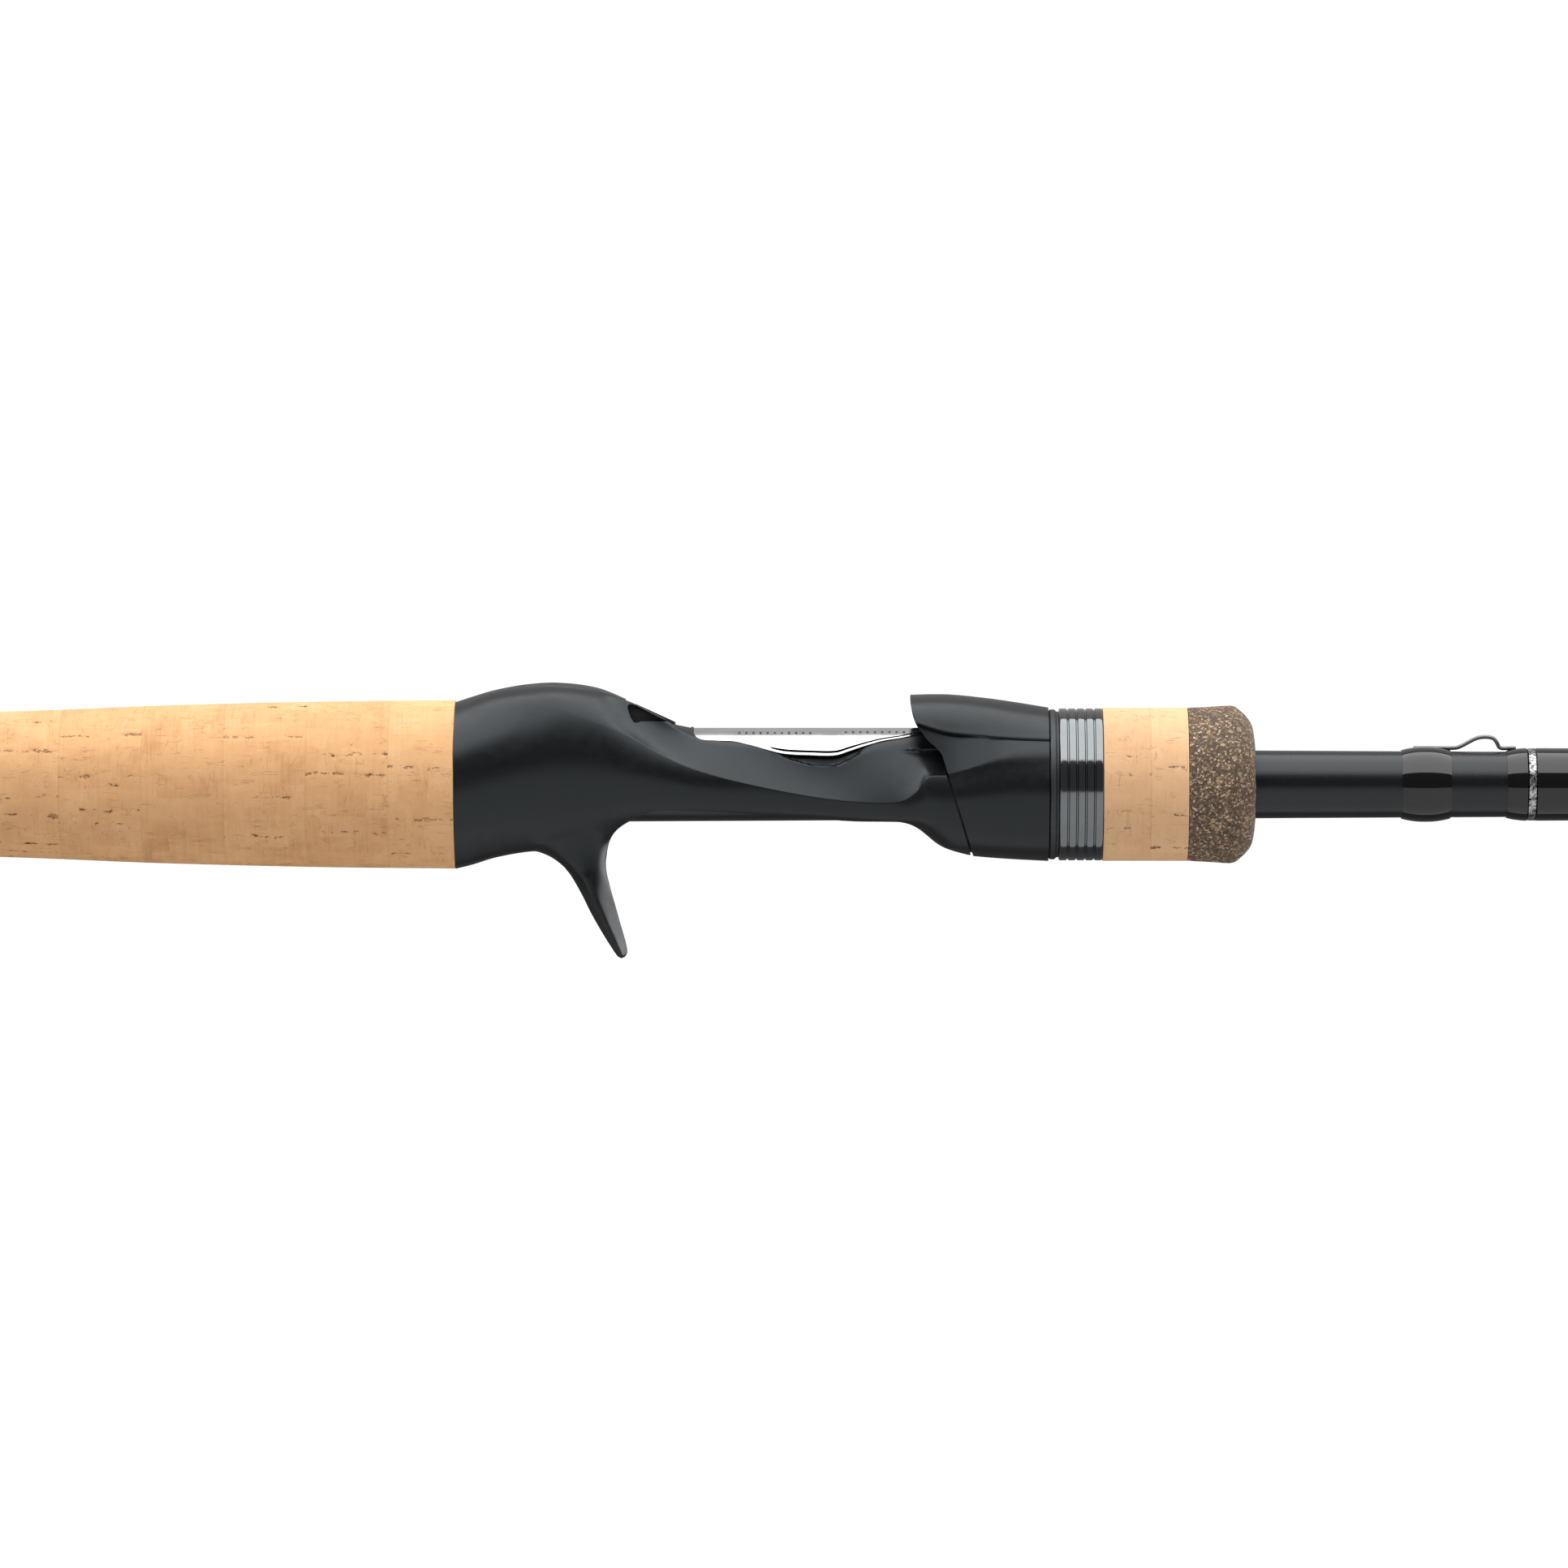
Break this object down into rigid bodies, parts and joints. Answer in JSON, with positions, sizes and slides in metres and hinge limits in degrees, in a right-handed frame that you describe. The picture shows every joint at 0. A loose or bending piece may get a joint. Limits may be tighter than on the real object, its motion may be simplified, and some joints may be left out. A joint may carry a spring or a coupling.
{
  "type": "casting fishing rod",
  "caption": "One-piece casting rod with cork grips, trigger reel seat, sliding hood closed by a screw-down fore grip, hook keeper and line guides; no reel.",
  "frame": {"origin": "centre of the butt end's flat face, on the rod's axis", "axes": "+X along the rod from butt to tip; +Z towards the reel and guide side; +Y completes a right-handed frame"},
  "size_m": [1.981, 0.0262, 0.0516],
  "materials": {
    "carbon_blank": "satin black lacquer over graphite",
    "butt_rubber": "matt",
    "trim_metal": "anodised dark, satin",
    "cork": "natural cork, fine sanded",
    "seat_resin": "black moulded resin, satin",
    "polished_metal": "polished",
    "liner_resin": "matt",
    "arbor_foam": "matt rigid foam bushing",
    "dark_metal": "anodised, satin",
    "gloss_black_metal": "anodised black, gloss",
    "nut_resin": "moulded",
    "cork_composite": "cork and rubber granules, sanded",
    "keeper_steel": "dark stainless wire",
    "thread_wrap": "black thread under clear gloss coat",
    "metallic_thread": "silver metallic thread under clear coat",
    "guide_steel": "black plated steel",
    "ceramic": "polished dark ceramic"
  },
  "bodies": {
    "rod": {"blank": "carbon_blank", "butt_cap": "butt_rubber", "butt_trim_ring": "trim_metal", "rear_cork_rings": "cork", "seat_body": "seat_resin", "foot_plate": "polished_metal", "pocket_liner": "liner_resin", "rear_arbor": "arbor_foam", "front_arbor": "arbor_foam", "hook_keeper": "keeper_steel", "keeper_rear_wrap": "thread_wrap", "keeper_front_wrap": "thread_wrap", "trim_band": "metallic_thread", "tip_frame": "guide_steel", "tip_ring": "ceramic", "tip_wrap": "thread_wrap", "guide_1_frame": "guide_steel", "guide_1_ring": "ceramic", "guide_1_wrap": "thread_wrap", "guide_2_frame": "guide_steel", "guide_2_ring": "ceramic", "guide_2_wrap": "thread_wrap", "guide_3_frame": "guide_steel", "guide_3_ring": "ceramic", "guide_3_wrap": "thread_wrap", "guide_4_frame": "guide_steel", "guide_4_ring": "ceramic", "guide_4_wrap": "thread_wrap", "guide_5_frame": "guide_steel", "guide_5_ring": "ceramic", "guide_5_wrap": "thread_wrap", "guide_6_frame": "guide_steel", "guide_6_ring": "ceramic", "guide_6_wrap": "thread_wrap", "guide_7_frame": "guide_steel", "guide_7_ring": "ceramic", "guide_7_wrap": "thread_wrap", "guide_8_frame": "guide_steel", "guide_8_ring": "ceramic", "guide_8_wrap": "thread_wrap"},
    "hood": {"hood": "seat_resin", "thrust_ring": "dark_metal"},
    "lock_nut": {"lock_ring": "gloss_black_metal", "nut_sleeve": "nut_resin", "fore_cork_rings": "cork", "fore_burl": "cork_composite"}
  },
  "joints": [
    {"name": "hood_slide", "type": "slide", "parent": "rod", "child": "hood", "axis": [1, 0, 0], "range_m": [0, 0.013]},
    {"name": "nut_spin", "type": "hinge", "parent": "hood", "child": "lock_nut", "pos_m": [0.335, 0, 0], "axis": [1, 0, 0], "range_deg": [0, 3120]}
  ],
  "couplings": [
    {"joint": "hood_slide", "follows": "nut_spin", "m_per_rad": 0.00023873}
  ]
}
